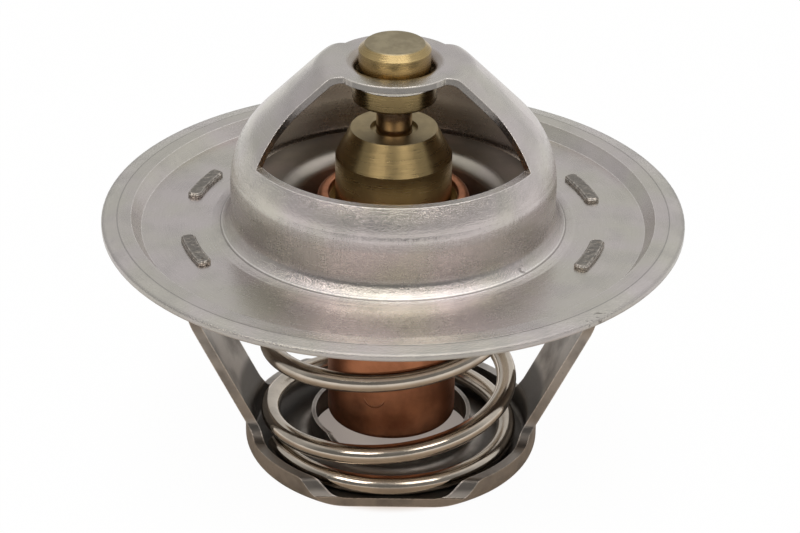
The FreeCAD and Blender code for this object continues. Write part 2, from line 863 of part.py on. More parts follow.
def main():
    os.makedirs("parts", exist_ok=True)
    doc = FreeCAD.newDocument("thermostat")
    sizes = read_sizes(make_sheet(doc))
    makers = (make_flange_bridge, make_lower_frame, make_main_spring, make_valve_disc,
              make_capsule_cup, make_guide_body, make_rubber_sleeve, make_wax_charge,
              make_piston, make_piston_cap)
    pieces = [make(doc, sizes) for make in makers]
    doc.recompute()
    check_pieces(doc, pieces)
    for piece in pieces:
        piece.Shape.exportStep("parts/%s.step" % piece.Label)
        print("%-14s %9.1f mm3" % (piece.Label, piece.Shape.Volume))


main()
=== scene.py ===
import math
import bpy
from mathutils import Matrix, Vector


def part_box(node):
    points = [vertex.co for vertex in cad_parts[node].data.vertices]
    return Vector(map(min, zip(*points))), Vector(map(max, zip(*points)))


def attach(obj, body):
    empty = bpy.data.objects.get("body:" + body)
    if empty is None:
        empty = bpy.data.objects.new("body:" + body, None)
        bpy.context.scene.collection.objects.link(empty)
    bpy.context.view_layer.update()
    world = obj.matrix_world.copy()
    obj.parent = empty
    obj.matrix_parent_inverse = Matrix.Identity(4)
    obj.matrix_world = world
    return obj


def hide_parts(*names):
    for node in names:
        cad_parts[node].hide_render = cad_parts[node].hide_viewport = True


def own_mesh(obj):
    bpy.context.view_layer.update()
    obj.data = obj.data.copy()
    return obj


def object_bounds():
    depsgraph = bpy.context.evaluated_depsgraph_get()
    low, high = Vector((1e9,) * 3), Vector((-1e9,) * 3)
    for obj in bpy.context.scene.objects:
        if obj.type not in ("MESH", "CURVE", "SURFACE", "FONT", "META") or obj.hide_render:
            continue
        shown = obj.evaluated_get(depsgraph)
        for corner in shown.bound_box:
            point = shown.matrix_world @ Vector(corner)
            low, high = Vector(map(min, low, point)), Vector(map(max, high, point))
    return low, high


bl_info = {
    "name": "Engine Thermostat",
    "version": (1, 0, 0),
    "blender": (4, 5, 0),
    "location": "View3D > Sidebar > Thermostat",
    "description": "Finishes the packed engine thermostat and sets up its studio view",
    "category": "Object",
}

import bmesh
import bpy
from bpy.props import FloatProperty, FloatVectorProperty, IntProperty, PointerProperty
from mathutils import Matrix, Vector

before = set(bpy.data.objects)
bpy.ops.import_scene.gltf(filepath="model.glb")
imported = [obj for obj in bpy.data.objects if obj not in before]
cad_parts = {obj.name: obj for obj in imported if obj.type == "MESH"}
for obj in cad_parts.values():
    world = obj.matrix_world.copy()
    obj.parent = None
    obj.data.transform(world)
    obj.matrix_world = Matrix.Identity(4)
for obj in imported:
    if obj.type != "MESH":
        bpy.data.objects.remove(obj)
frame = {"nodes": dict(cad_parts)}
CAD_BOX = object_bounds()

MM = 0.001
COIL_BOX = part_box("main_spring")
HOUSING = "housing"

# Where the finishes change, in millimetres: radii from the axis and heights above the base.
# Two values say where a change starts and where it is full. Four values mark a stretch, which
# starts, is full, fades and ends.

# Flange and bridge. The bridge's upper face is flat out to a radius and then falls evenly, and
# BRIGHT_CUT lies below that face. The rounds of the sheet's edges follow RIM_ROLL.
SCORED_WALL = (14.9, 15.0, 15.2, 15.7)
FOOT_ROUND = (15.1, 15.4, 16.6, 17.0)
LIP_ROUND = (25.3, 25.9)
SILL_ROUND = (29.6, 31.0, 32.4, 33.6)
INSIDE_DOME = (24.5, 26.0)
ON_FLANGE = (26.5, 26.0)
FOOT_LINE, FOOT_LINE_WIDTH = 16.05, 0.06
FOOT_PALE_LINE, FOOT_PALE_LINE_WIDTH = 15.9, 0.07
LIP_SEAM, LIP_SEAM_WIDTH = 25.55, 0.08
RIM_SHADE = (26.55, 26.95)
RIM_ROLL = (25.6, 26.2)
SHARP_EDGE, ROLLED_EDGE = 0.07, 0.38
BRIDGE_TOP = 40.0
BRIDGE_FLAT = 6.9
BRIDGE_SLOPE = 1.035
BRIDGE_CUT = (33.6, 34.6)
OUTSIDE_HOLE = (4.4, 4.6)
BRIGHT_CUT = (0.05, 0.16)

# Place and reach of each nick in the flange.
NICKS = (((18.2, -19.7, 24.7), 0.8), ((17.0, -20.6, 24.5), 0.6), ((11.6, -10.3, 24.2), 0.6))

# Valve disc: where its painted shade lies.
ROUND_CAPSULE = (9.0, 7.6)
UNDER_WALL = (12.4, 13.8)

# Spring frame, with the places of the painted shade inside the cup.
TAB_HEADS = (23.3, 23.7)
CUP_WALL = (1.2, 1.8, 6.0, 7.0)
CUP_INSIDE = (7.0, 5.5)
CUP_INSIDE_REACH = (9.0, 10.0)
SPRING_SEAT = (1.6, 1.2)
SPRING_SEAT_REACH = (8.4, 9.2)

# Guide, cap and capsule.
FILM_EDGE = 0.05
GUIDE_TOP_MARGIN = 0.02
GUIDE_BORE_SHADE = (2.45, 2.3)
CAP_TOP = 41.7
CAP_COLLAR = 2.1
DENT_PLACE = (-1.6, -5.8, 8.0)
DENT_RADIUS = 1.0
DENT_SHARPNESS = 11.0
DENT_LOWER_HALF = (7.85, 7.5)

# How far a face is turned towards a direction, from 0 for edge on to 1 for straight at it.
TO_AXIS = (0.0, -0.35)
TO_WINDOW = (0.66, 0.8)
UPWARDS = (0.5, 0.8)
SHEARED_CORNER = (0.2, 0.35, 0.9, 0.97)

# Colours that belong to one place: painted shade inside the dome and round the capsule, and dirt
# in the nicks; and the cap's tone beside the guide's.
DOME_INSIDE_SHADE = (0.33, 0.27, 0.215)
CAPSULE_SHADOW = (0.07, 0.045, 0.035)
NICK_DIRT = (0.07, 0.055, 0.045)
CAP_TONE = 0.84

# Depth of the relief, and width and sampling of the rubbed edges, whose lighter colour is partly
# rubbed wear and partly painted highlight.
ROD_RELIEF = 0.003 * MM
SHEET_RELIEF = 0.006 * MM
WIRE_RELIEF = 0.006 * MM
GUIDE_RELIEF = 0.006 * MM
CAP_RELIEF = 0.007 * MM
ROUGH_RELIEF = 0.012 * MM
FILLING_RELIEF = 0.02 * MM
FINE_EDGE = 0.14 * MM
RUBBED_GLINT_EDGE = 0.2 * MM
EDGE_SAMPLES = 6


# Settings that a user would change.

def colour(name, description, default):
    return FloatVectorProperty(name=name, description=description, default=default,
                               subtype="COLOR", min=0, max=1)


def length(name, description, default):
    return FloatProperty(name=name, description=description, default=default,
                         unit="LENGTH", precision=5)


def angle(name, description, degrees):
    return FloatProperty(name=name, description=description,
                         default=math.radians(degrees), subtype="ANGLE")


class CoilSettings(bpy.types.PropertyGroup):
    """Sizes of the return spring."""

    wire: length("Wire", "Diameter of the wire", 1.86 * MM)
    turns: FloatProperty(name="Turns", description="Turns from end to end", default=4.5)
    flat: FloatProperty(name="Flat Turns", description="Turns that lie flat at each end",
                        default=0.33)
    ramp: FloatProperty(name="Ramp Turns", default=0.85,
                        description="Turns over which the pitch grows to its full size")
    start: angle("Start", "Direction of the lower end of the wire", 200)
    offset: length("Offset", "How far the lower end sits off the axis", -0.2 * MM)
    lean: length("Lean", "How much further off the axis the upper end sits", -0.3 * MM)
    sides: IntProperty(name="Sides", description="Sides of the wire's section", default=28)
    steps: IntProperty(name="Steps", description="Steps in one turn", default=80)


class FinishSettings(bpy.types.PropertyGroup):
    """Colours of the metals and of the sealed filling."""

    sheet: colour("Flange", "Drawn stainless sheet of the flange and bridge",
                  (0.60, 0.57, 0.546))
    frame: colour("Frame", "Pressed steel of the spring frame", (0.45, 0.415, 0.38))
    tab: colour("Tabs", "Peened heads of the frame's tabs", (0.25, 0.228, 0.20))
    disc: colour("Disc", "Drawn sheet of the valve disc", (0.44, 0.40, 0.36))
    wire: colour("Wire", "Polished spring wire", (0.61, 0.54, 0.455))
    copper: colour("Copper", "Drawn copper of the capsule", (0.66, 0.29, 0.155))
    tarnish: colour("Tarnish", "Brown film on the copper", (0.36, 0.14, 0.07))
    brass: colour("Brass", "Turned brass of the guide and cap", (0.50, 0.37, 0.175))
    film: colour("Guide Film", "Dull film on the top of the guide", (0.40, 0.31, 0.165))
    patina: colour("Patina", "Dull film on the top of the cap", (0.40, 0.335, 0.21))
    rod: colour("Rod", "Ground steel of the piston", (0.55, 0.42, 0.30))
    rubber: colour("Rubber", "Sleeve inside the capsule", (0.02, 0.02, 0.02))
    wax: colour("Wax", "Filling of the capsule", (0.70, 0.60, 0.40))


class StageSettings(bpy.types.PropertyGroup):
    """Camera and light."""

    elevation: angle("Elevation", "Height of the camera above the horizon", 28.0713)
    roll: angle("Roll", "Turn of the camera about its own axis", 0.7069)
    distance: length("Distance", "Camera to target", 265.498 * MM)
    lens: FloatProperty(name="Lens", description="Focal length", default=127.35, unit="CAMERA")
    target: FloatVectorProperty(name="Target", description="Point that the camera looks at",
                                default=(0.6936 * MM, 0, 18.9048 * MM), subtype="XYZ",
                                unit="LENGTH")
    backdrop: FloatProperty(name="Backdrop", description="Brightness of the backdrop",
                            default=1.0, min=0, max=1)


# Node trees.

class Tree:
    """Adds nodes to a tree. An input is given as a value, or as a socket to link from."""

    def __init__(self, tree):
        self.tree = tree

    def add(self, kind, inputs=None, **settings):
        node = self.tree.nodes.new(kind)
        for name, value in settings.items():
            setattr(node, name, value)
        for key, value in (inputs or {}).items():
            if isinstance(value, bpy.types.NodeSocket):
                self.tree.links.new(value, node.inputs[key])
            else:
                node.inputs[key].default_value = value
        return node

    def math(self, operation, first, second=0.0, clamp=False):
        node = self.add("ShaderNodeMath", {0: first, 1: second}, operation=operation,
                        use_clamp=clamp)
        return node.outputs[0]

    def chain(self, operation, first, *others):
        for other in others:
            first = self.math(operation, first, other)
        return first

    def times(self, *factors):
        return self.chain("MULTIPLY", *factors)

    def plus(self, *terms):
        return self.chain("ADD", *terms)

    def minus(self, first, second):
        return self.math("SUBTRACT", first, second)

    def highest(self, *values):
        return self.chain("MAXIMUM", *values)

    def swing(self, noise, amount):
        """Makes a noise push up and down round zero."""
        return self.times(self.minus(noise, 0.5), amount)

    def split(self, vector):
        return self.add("ShaderNodeSeparateXYZ", {0: vector}).outputs

    def join(self, x, y, z=0.0):
        return self.add("ShaderNodeCombineXYZ", {"X": x, "Y": y, "Z": z}).outputs[0]

    def scale(self, vector, factor):
        node = self.add("ShaderNodeVectorMath", {0: vector, "Scale": factor},
                        operation="SCALE")
        return node.outputs["Vector"]

    def direction(self, vector):
        return self.add("ShaderNodeVectorMath", {0: vector}, operation="NORMALIZE").outputs[0]

    def measure(self, operation, first, second=(0, 0, 0)):
        """The length, distance or dot product of vectors, as one value."""
        node = self.add("ShaderNodeVectorMath", {0: first, 1: second}, operation=operation)
        return node.outputs["Value"]

    def normal(self, kind="True Normal"):
        return self.add("ShaderNodeNewGeometry").outputs[kind]

    def rounded(self, radius):
        """The normal that a surface would have if its edges were round."""
        return self.add("ShaderNodeBevel", {"Radius": radius}, samples=EDGE_SAMPLES).outputs[0]

    def noise(self, vector, size, detail=3.0, roughness=0.55):
        node = self.add("ShaderNodeTexNoise", {"Vector": vector, "Scale": size,
                                               "Detail": detail, "Roughness": roughness})
        return node.outputs["Fac"]

    def band(self, value, low, high, result_low=0.0, result_high=1.0):
        """Passes smoothly from one result to the other between two values."""
        node = self.add("ShaderNodeMapRange", {
            "Value": value, "From Min": low, "From Max": high,
            "To Min": result_low, "To Max": result_high}, interpolation_type="SMOOTHSTEP")
        return node.outputs["Result"]

    def stretch(self, value, start, full, fade, end):
        """Rises from 0 to 1 between start and full, and falls again between fade and end."""
        return self.times(self.band(value, start, full), self.band(value, end, fade))

    def mix(self, factor, first, second):
        node = self.add("ShaderNodeMix", {"Factor": factor}, data_type="RGBA")
        for socket, value in ((node.inputs[6], first), (node.inputs[7], second)):
            if isinstance(value, bpy.types.NodeSocket):
                self.tree.links.new(value, socket)
            else:
                socket.default_value = (*value[:3], 1.0)
        return node.outputs[2]

    def cover(self, shade, mask, tint, amount):
        """Lays a tint over a shade where the mask is, by an amount."""
        return self.mix(self.times(mask, amount), shade, tint)

    def group(self, tree, inputs):
        return self.add("ShaderNodeGroup", inputs, node_tree=tree).outputs


def new_group(name, inputs, outputs):
    tree = bpy.data.node_groups.new(name, "ShaderNodeTree")
    for in_out, sockets in (("INPUT", inputs), ("OUTPUT", outputs)):
        for label, kind, *default in sockets:
            socket = tree.interface.new_socket(label, in_out=in_out,
                                               socket_type="NodeSocket" + kind)
            if default:
                socket.default_value = default[0]
    nodes = Tree(tree)
    return nodes, nodes.add("NodeGroupInput").outputs, nodes.add("NodeGroupOutput")


def finish_group(nodes, output, results):
    for label, socket in results.items():
        nodes.tree.links.new(socket, output.inputs[label])
    return nodes.tree


def turning_marks():
    """Fine rings round the axis, with the radius and the height of each point in millimetres."""
    nodes, given, output = new_group(
        "Turning Marks",
        [("Vector", "Vector"), ("Run", "Float", 0.3), ("Size", "Float", 5.0),
         ("Detail", "Float", 4.0), ("Roughness", "Float", 0.65)],
        [("Radius", "Float"), ("Height", "Float"), ("Rings", "Float"), ("Inward", "Float")])
    place = nodes.split(nodes.scale(given["Vector"], 1 / MM))
    level = nodes.join(place["X"], place["Y"])
    radius = nodes.measure("LENGTH", level)
    heading = nodes.direction(level)
    turn = nodes.split(nodes.scale(heading, given["Run"]))
    wound = nodes.join(nodes.plus(turn["X"], radius), nodes.plus(turn["Y"], place["Z"]),
                       turn["X"])
    rings = nodes.noise(wound, given["Size"], given["Detail"], given["Roughness"])
    lean = nodes.measure("DOT_PRODUCT", nodes.normal(), heading)
    inward = nodes.band(lean, *TO_AXIS)
    return finish_group(nodes, output, {"Radius": radius, "Height": place["Z"],
                                        "Rings": rings, "Inward": inward})


def draw_scores():
    """Streaks down a drawn wall, which show where the tool dragged on the sheet."""
    nodes, given, output = new_group(
        "Draw Scores", [("Vector", "Vector"), ("Spread", "Float", 15.0), ("Rise", "Float", 60.0)],
        [("Scores", "Float")])
    place = nodes.split(given["Vector"])
    heading = nodes.direction(nodes.join(place["X"], place["Y"]))
    spoke = nodes.split(nodes.scale(heading, given["Spread"]))
    wall = nodes.join(spoke["X"], spoke["Y"], nodes.times(place["Z"], given["Rise"]))
    scores = nodes.noise(wall, size=5.0, detail=4.0, roughness=0.7)
    return finish_group(nodes, output, {"Scores": scores})


def metal_wear():
    """Blotches and fine pits that every metal here has in its own measure."""
    pit_stain, film_rough, pit_rough = 0.5, 0.18, 0.2
    nodes, given, output = new_group(
        "Metal Wear",
        [("Place", "Vector"), ("Color", "Color"), ("Stain", "Color"),
         ("Stain Amount", "Float", 0.3), ("Roughness", "Float", 0.3),
         ("Pit Amount", "Float", 0.3)],
        [("Color", "Color"), ("Roughness", "Float"), ("Height", "Float")])
    blotch = nodes.noise(given["Place"], size=0.28, detail=5.0)
    film = nodes.times(nodes.band(blotch, low=0.42, high=0.72), given["Stain Amount"])
    stained = nodes.mix(film, given["Color"], given["Stain"])
    speck = nodes.noise(given["Place"], size=3.5, detail=4.0, roughness=0.7)
    pits = nodes.times(nodes.band(speck, low=0.62, high=0.72), given["Pit Amount"])
    spotted = nodes.cover(stained, pits, given["Stain"], pit_stain)
    rough = nodes.plus(given["Roughness"], nodes.times(film, film_rough),
                       nodes.times(pits, pit_rough))
    return finish_group(nodes, output, {"Color": spotted, "Roughness": rough,
                                        "Height": nodes.times(pits, -1.0)})


def edge_wear_and_glint():
    """Marks the sharp edges of a piece, where the finish is rubbed bright and a painted highlight
    stands for the glint along them.
    """
    nodes, given, output = new_group(
        "Edge Wear And Glint", [("Place", "Vector"), ("Width", "Float", FINE_EDGE)], [("Mask", "Float")])
    match = nodes.measure("DOT_PRODUCT", nodes.rounded(given["Width"]), nodes.normal("Normal"))
    edge = nodes.band(match, low=0.995, high=0.93)
    patchy = nodes.noise(given["Place"], size=3.5, detail=4.0)
    chips = nodes.band(patchy, low=0.3, high=0.6, result_low=0.25)
    return finish_group(nodes, output, {"Mask": nodes.times(edge, chips)})


GROUPS = {}


def shared(maker):
    """The node group that a maker builds, made the first time that it is needed."""
    if maker not in GROUPS:
        GROUPS[maker] = maker()
    return GROUPS[maker]


# Finishes.

def new_material(name):
    material = bpy.data.materials.new(name)
    material.use_nodes = True
    material.node_tree.nodes.clear()
    nodes = Tree(material.node_tree)
    position = nodes.add("ShaderNodeTexCoord").outputs["Object"]
    return material, nodes, position, nodes.scale(position, 1 / MM)


def close_material(nodes, shade, roughness, height, depth, metallic=1.0, soft=None):
    """Ends a material in a Principled BSDF with relief from a height and softened edges."""
    bump = nodes.add("ShaderNodeBump", {"Height": height, "Distance": depth, "Strength": 1.0})
    if soft:
        nodes.tree.links.new(nodes.rounded(soft), bump.inputs["Normal"])
    shader = nodes.add("ShaderNodeBsdfPrincipled", {
        "Base Color": shade, "Metallic": metallic, "Roughness": roughness,
        "Normal": bump.outputs[0]})
    nodes.add("ShaderNodeOutputMaterial", {"Surface": shader.outputs[0]})


def assign(material, name):
    node = frame["nodes"][name]
    node.data.materials.clear()
    node.data.materials.append(material)


def toned(tint, share):
    """A darker tint for a share below one, and a lighter tint above it."""
    return tuple(channel * share for channel in tint)


def turned_rings(nodes, position, run, size, detail, roughness=0.65):
    return nodes.group(shared(turning_marks), {
        "Vector": position, "Run": run, "Size": size, "Detail": detail,
        "Roughness": roughness})


def worn_metal(nodes, place, shade, stain, stain_amount, rough, pits):
    """Colour, roughness and height of a worn metal. The shade is a tint or a socket."""
    if not isinstance(shade, bpy.types.NodeSocket):
        shade = (*shade, 1)
    return nodes.group(shared(metal_wear), {
        "Place": place, "Color": shade, "Stain": (*stain, 1), "Stain Amount": stain_amount,
        "Roughness": rough, "Pit Amount": pits})


def worn_and_glinting_edges(nodes, place, width=FINE_EDGE):
    return nodes.group(shared(edge_wear_and_glint), {"Place": place, "Width": width})["Mask"]


def ring_tone(nodes, shade, rings, spread):
    """Lets the rings show in a colour, half of them lighter and half of them darker."""
    return nodes.scale(shade, nodes.plus(1 - spread / 2, nodes.times(rings, spread)))


def ring_line(nodes, radius, place, half_width):
    """A narrow line round the axis at a given radius."""
    core = half_width / 5
    gap = nodes.math("ABSOLUTE", nodes.minus(radius, place))
    return nodes.band(gap, half_width, core)


def drawn_sheet(nodes, position, place, tint, grain, stain, rough):
    """Stainless sheet with ring marks from drawing and a coarse sparkle."""
    turned = turned_rings(nodes, position, run=0.9, size=9.0, detail=5.0)
    rings = turned["Rings"]
    fleck = nodes.noise(place, size=4.6, detail=3.0, roughness=0.8)
    drift = nodes.band(nodes.noise(place, size=0.13, detail=2.0), low=0.35, high=0.65)
    rosy = (tint[0] * 1.04, tint[1], tint[2] * 1.02)
    straw = (tint[0], tint[1], tint[2] * 0.93)
    worn = worn_metal(nodes, place, nodes.mix(drift, rosy, straw), toned(tint, 0.66),
                      stain_amount=stain, rough=rough, pits=0.4)
    shade = ring_tone(nodes, worn["Color"], rings, spread=0.18)
    # Lighter edges: rubbed wear and a painted highlight.
    shade = nodes.cover(shade, worn_and_glinting_edges(nodes, place), toned(tint, 1.6), amount=0.9)
    roughness = nodes.plus(worn["Roughness"], nodes.swing(rings, grain))
    roughness = nodes.math("ADD", roughness, nodes.swing(fleck, 0.16), clamp=True)
    relief = nodes.plus(worn["Height"], nodes.times(rings, 0.45))
    return turned, fleck, shade, roughness, relief


def torn_edge_shade(nodes, radius, level):
    """The lower part of the bridge's sheared edges, where the sheet broke instead of cutting:
    partly a duller broken face, partly painted shade.
    """
    fall = nodes.times(nodes.minus(radius, BRIDGE_FLAT), BRIDGE_SLOPE)
    roof = nodes.minus(BRIDGE_TOP, nodes.highest(fall, 0.0))
    depth = nodes.band(nodes.minus(roof, level), *BRIGHT_CUT)
    facing = nodes.math("ABSOLUTE", nodes.split(nodes.normal())["Y"])
    cut = nodes.times(nodes.band(facing, *TO_WINDOW), nodes.band(level, *BRIDGE_CUT))
    return nodes.times(cut, depth, nodes.band(radius, *OUTSIDE_HOLE))


def disc_sheet(name, tint):
    """The valve disc, with painted shade round the capsule and under the dome's wall."""
    material, nodes, position, place = new_material(name)
    turned, fleck, shade, roughness, relief = drawn_sheet(
        nodes, position, place, tint, grain=0.12, stain=0.45, rough=0.32)
    radius = turned["Radius"]
    # Painted shade round the capsule and under the dome's wall.
    shade = nodes.cover(shade, nodes.band(radius, *ROUND_CAPSULE), CAPSULE_SHADOW, amount=0.8)
    shade = nodes.cover(shade, nodes.band(radius, *UNDER_WALL), toned(tint, 0.4), amount=0.5)
    relief = nodes.plus(relief, nodes.times(fleck, 1.5))
    close_material(nodes, shade, roughness, relief, SHEET_RELIEF)
    return material


def flange_sheet(name, tint):
    """The flange's sheet: scored walls, rough bends, the lines that the press left, and painted
    shade inside the dome, on the bridge's torn cuts and round the rim.
    """
    score_depth, line_depth, flat_fleck, bend_fleck = 12.0, 6.0, 1.5, 9.0
    material, nodes, position, place = new_material(name)
    turned, fleck, shade, roughness, relief = drawn_sheet(
        nodes, position, place, tint, grain=0.16, stain=0.35, rough=0.235)
    radius, level = turned["Radius"], turned["Height"]

    # Painted shade on the dome's inner walls above the flange.
    inside_shade = nodes.times(turned["Inward"], nodes.band(level, *INSIDE_DOME))
    shade = nodes.cover(shade, inside_shade, DOME_INSIDE_SHADE, amount=0.6)

    bends = nodes.highest(nodes.stretch(radius, *FOOT_ROUND), nodes.band(radius, *LIP_ROUND),
                          nodes.stretch(level, *SILL_ROUND))
    roughness = nodes.minus(roughness, nodes.times(bends, 0.12))
    coarse = nodes.plus(flat_fleck, nodes.times(bends, bend_fleck))
    scores = nodes.group(shared(draw_scores), {"Vector": position})["Scores"]
    scored = nodes.times(scores, nodes.stretch(radius, *SCORED_WALL), score_depth)
    relief = nodes.plus(relief, nodes.times(fleck, coarse), scored)

    on_flange = nodes.band(level, *ON_FLANGE)
    lines = nodes.highest(ring_line(nodes, radius, FOOT_LINE, FOOT_LINE_WIDTH),
                          ring_line(nodes, radius, LIP_SEAM, LIP_SEAM_WIDTH))
    lines = nodes.times(lines, on_flange)
    relief = nodes.minus(relief, nodes.times(lines, line_depth))
    shade = nodes.cover(shade, lines, toned(tint, 0.35), amount=0.45)
    # A lighter line just inside the foot line.
    pale_foot_line = ring_line(nodes, radius, FOOT_PALE_LINE, FOOT_PALE_LINE_WIDTH)
    shade = nodes.cover(shade, nodes.times(pale_foot_line, on_flange), toned(tint, 1.55), amount=0.5)
    # The torn lower part of the bridge's cut is painted dark: partly a duller broken face, partly
    # painted shade.
    shade = nodes.cover(shade, torn_edge_shade(nodes, radius, level), toned(tint, 0.3), amount=0.8)
    shade = nodes.cover(shade, nodes.band(radius, *RIM_SHADE), toned(tint, 0.5), amount=0.4)

    crumbs = nodes.band(nodes.noise(place, size=2.2, detail=2.0), low=0.52, high=0.58)
    for spot, reach in NICKS:
        gap = nodes.measure("DISTANCE", place, spot)
        nick = nodes.times(nodes.band(gap, reach, reach / 2), crumbs)
        shade = nodes.cover(shade, nick, NICK_DIRT, amount=0.65)

    soft = nodes.band(radius, *RIM_ROLL, SHARP_EDGE * MM, ROLLED_EDGE * MM)
    close_material(nodes, shade, roughness, relief, SHEET_RELIEF, soft=soft)
    return material


def frame_steel(name, tint, tab_tint):
    """Duller pressed steel, with painted shade inside the cup and hammered heads above the
    flange.
    """
    grain_depth, grit_depth, head_grit_depth, dent_depth = 1.1, 1.2, 0.5, 34.0
    material, nodes, position, place = new_material(name)
    turned = turned_rings(nodes, position, run=2.0, size=3.5, detail=6.0, roughness=0.7)
    radius, level, grain = turned["Radius"], turned["Height"], turned["Rings"]
    upward = nodes.split(nodes.normal())["Z"]

    head = nodes.band(level, *TAB_HEADS)
    sheared = nodes.times(nodes.stretch(upward, *SHEARED_CORNER),
                          nodes.stretch(level, *CUP_WALL))
    seat_shade = nodes.times(nodes.band(upward, *UPWARDS), nodes.band(level, *SPRING_SEAT),
                       nodes.band(radius, *SPRING_SEAT_REACH))
    inner_shade = nodes.times(turned["Inward"], nodes.band(level, *CUP_INSIDE),
                        nodes.band(radius, *CUP_INSIDE_REACH, result_high=0.45))
    shade = nodes.mix(head, tint, tab_tint)
    shade = nodes.mix(sheared, shade, toned(tint, 0.34))
    # Painted shade on the spring seat and on the cup's inner wall.
    shade = nodes.mix(nodes.highest(seat_shade, inner_shade), shade, toned(tint, 0.3))
    worn = worn_metal(nodes, place, shade, toned(tint, 0.45), stain_amount=0.65, rough=0.31,
                      pits=0.8)
    # Lighter edges: rubbed wear and a painted highlight.
    bright = nodes.cover(worn["Color"], worn_and_glinting_edges(nodes, place, RUBBED_GLINT_EDGE),
                         toned(tint, 1.9), amount=0.8)

    roughness = nodes.plus(worn["Roughness"], nodes.times(grain, 0.12))
    grit = nodes.noise(place, size=11.0, detail=3.0, roughness=0.75)
    grit_here = nodes.minus(grit_depth, nodes.times(head, grit_depth - head_grit_depth))
    dents = nodes.noise(place, size=1.7, detail=2.0, roughness=0.5)
    relief = nodes.plus(worn["Height"], nodes.times(grain, grain_depth),
                        nodes.times(grit, grit_here), nodes.times(dents, head, dent_depth))
    close_material(nodes, bright, roughness, relief, ROUGH_RELIEF)
    return material


def turned_metal(name, tint, rough, ring_size, ring_depth, stain, film=None, film_level=0.0,
                 shaded_level=None):
    """Brass or steel off the lathe: close rings round the axis, stains, a film on top, and the
    film's colour as painted shade in the bore.

    The levels are heights in millimetres: the film lies above its own, and the piece is
    darker below the shaded one.
    """
    material, nodes, position, place = new_material(name)
    turned = turned_rings(nodes, position, run=0.25, size=ring_size, detail=3.0, roughness=0.6)
    rings, level = turned["Rings"], turned["Height"]
    worn = worn_metal(nodes, place, tint, toned(tint, 0.5), stain_amount=stain, rough=rough,
                      pits=0.35)
    shade = ring_tone(nodes, worn["Color"], rings, spread=0.28)
    # Lighter edges: rubbed wear and a painted highlight.
    shade = nodes.cover(shade, worn_and_glinting_edges(nodes, place, RUBBED_GLINT_EDGE), toned(tint, 1.45),
                        amount=0.5)
    roughness = nodes.plus(worn["Roughness"], nodes.swing(rings, 0.2))
    if film:
        # The film on the top face is real; in the bore the same colour is painted shade.
        film_and_bore_shade = nodes.highest(nodes.band(level, film_level - FILM_EDGE, film_level),
                             nodes.band(turned["Radius"], *GUIDE_BORE_SHADE))
        patch = nodes.noise(place, size=0.55, detail=5.0, roughness=0.65)
        cover = nodes.times(film_and_bore_shade, nodes.band(patch, low=0.25, high=0.6, result_low=0.75))
        mottled = nodes.mix(nodes.band(patch, low=0.38, high=0.62), toned(film, 0.72), film)
        shade = nodes.mix(cover, shade, mottled)
        roughness = nodes.plus(roughness, nodes.times(cover, 0.12))
    if shaded_level:
        below = nodes.band(level, shaded_level, shaded_level - FILM_EDGE)
        shade = nodes.cover(shade, below, toned(tint, 0.6), amount=0.85)
    relief = nodes.plus(worn["Height"], nodes.times(rings, 1.6))
    close_material(nodes, shade, roughness, relief, ring_depth)
    return material


def copper_film(name, tint, film):
    """Drawn copper under a brown film, with a small curved dent in front."""
    material, nodes, position, place = new_material(name)
    turned = turned_rings(nodes, position, run=0.5, size=2.4, detail=6.0, roughness=0.7)
    rings = turned["Rings"]
    cloud = nodes.noise(place, size=0.3, detail=6.0, roughness=0.6)
    coated = nodes.mix(nodes.band(cloud, low=0.3, high=0.75), tint, film)
    worn = worn_metal(nodes, place, coated, toned(film, 0.6), stain_amount=0.3, rough=0.34,
                      pits=0.3)
    reach = nodes.measure("DISTANCE", place, DENT_PLACE)
    off_line = nodes.math("ABSOLUTE", nodes.minus(reach, DENT_RADIUS))
    arc = nodes.math("SUBTRACT", 1.0, nodes.times(off_line, DENT_SHARPNESS), clamp=True)
    dent = nodes.times(arc, nodes.band(turned["Height"], *DENT_LOWER_HALF))
    shade = nodes.cover(worn["Color"], dent, toned(tint, 1.3), amount=0.5)
    roughness = nodes.plus(worn["Roughness"], nodes.times(rings, 0.14))
    relief = nodes.plus(worn["Height"], nodes.times(rings, 0.8), nodes.times(dent, 9.0))
    close_material(nodes, shade, roughness, relief, ROUGH_RELIEF)
    return material


def drawn_wire(name, tint):
    """Bright wire with faint streaks along its length."""
    stretched = 0.12
    material, nodes, _, place = new_material(name)
    along = nodes.add("ShaderNodeAttribute", attribute_name="along").outputs["Fac"]
    around = nodes.add("ShaderNodeAttribute", attribute_name="around").outputs["Fac"]
    streaks = nodes.noise(nodes.join(nodes.times(along, stretched), around),
                          size=2.4, detail=5.0, roughness=0.7)
    worn = worn_metal(nodes, place, tint, toned(tint, 0.55), stain_amount=0.5, rough=0.12,
                      pits=0.3)
    roughness = nodes.plus(worn["Roughness"], nodes.swing(streaks, 0.16))
    relief = nodes.plus(worn["Height"], streaks)
    close_material(nodes, worn["Color"], roughness, relief, WIRE_RELIEF)
    return material


def sealed_filling(name, tint, rough):
    """Rubber or wax that only shows when the capsule is cut open."""
    spread = 0.1
    material, nodes, _, place = new_material(name)
    cloud = nodes.noise(place, size=0.8, detail=4.0)
    shade = nodes.mix(cloud, toned(tint, 0.8), tint)
    roughness = nodes.band(cloud, 0.0, 1.0, rough - spread, rough + spread)
    close_material(nodes, shade, roughness, cloud, FILLING_RELIEF, metallic=0.0)
    return material


# The return spring.

def coil_height(coil, turn):
    """Height of the wire's centre: flat ends and an even pitch between two ramps."""
    low = COIL_BOX[0].z + coil.wire / 2
    high = COIL_BOX[1].z - coil.wire / 2
    pitch = (high - low) / (coil.turns - 2 * coil.flat - coil.ramp)

    def climb(t):
        t = max(0.0, t)
        return pitch * t * t / (2 * coil.ramp) if t < coil.ramp else pitch * (t - coil.ramp / 2)

    if turn < coil.turns / 2:
        return low + climb(turn - coil.flat)
    return high - climb(coil.turns - turn - coil.flat)


